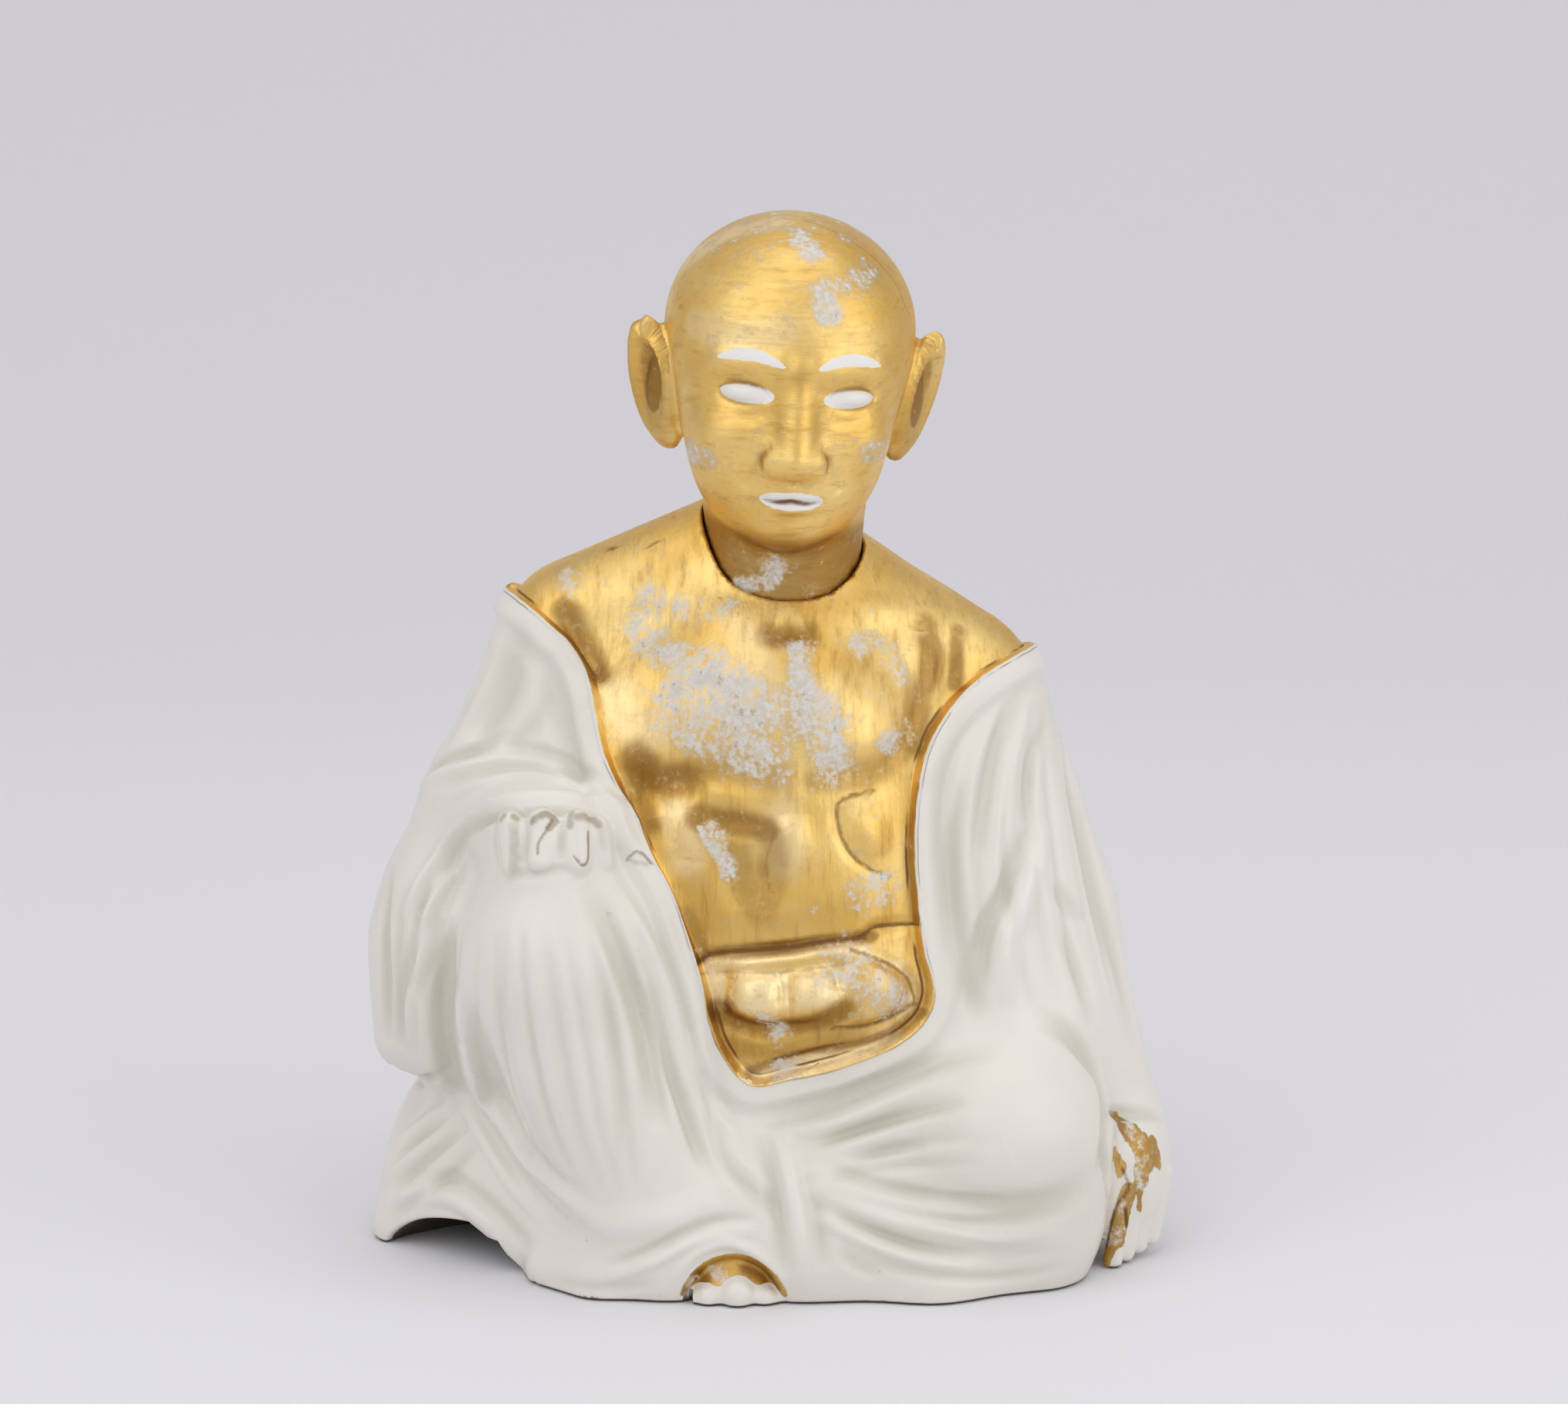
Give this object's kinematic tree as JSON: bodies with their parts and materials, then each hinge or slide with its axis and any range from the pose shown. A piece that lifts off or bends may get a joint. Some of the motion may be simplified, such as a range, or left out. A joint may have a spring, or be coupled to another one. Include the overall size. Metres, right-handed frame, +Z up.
{
  "type": "seated porcelain monk figure",
  "caption": "Seated bald monk with a raised knee, in a loose glazed robe open to the waist; gilded head, chest and belly. Hollow body open below, head set in the collar.",
  "frame": {"origin": "centre of the figure's box, on the table under the base rim", "axes": "+Z up, the figure faces -Y, +X to its own left"},
  "size_m": [0.1383, 0.0869, 0.1799],
  "materials": {
    "glaze": "gloss",
    "gilding": "worn gilt"
  },
  "bodies": {
    "root": {"body": "glaze", "head": "gilding"}
  },
  "joints": []
}
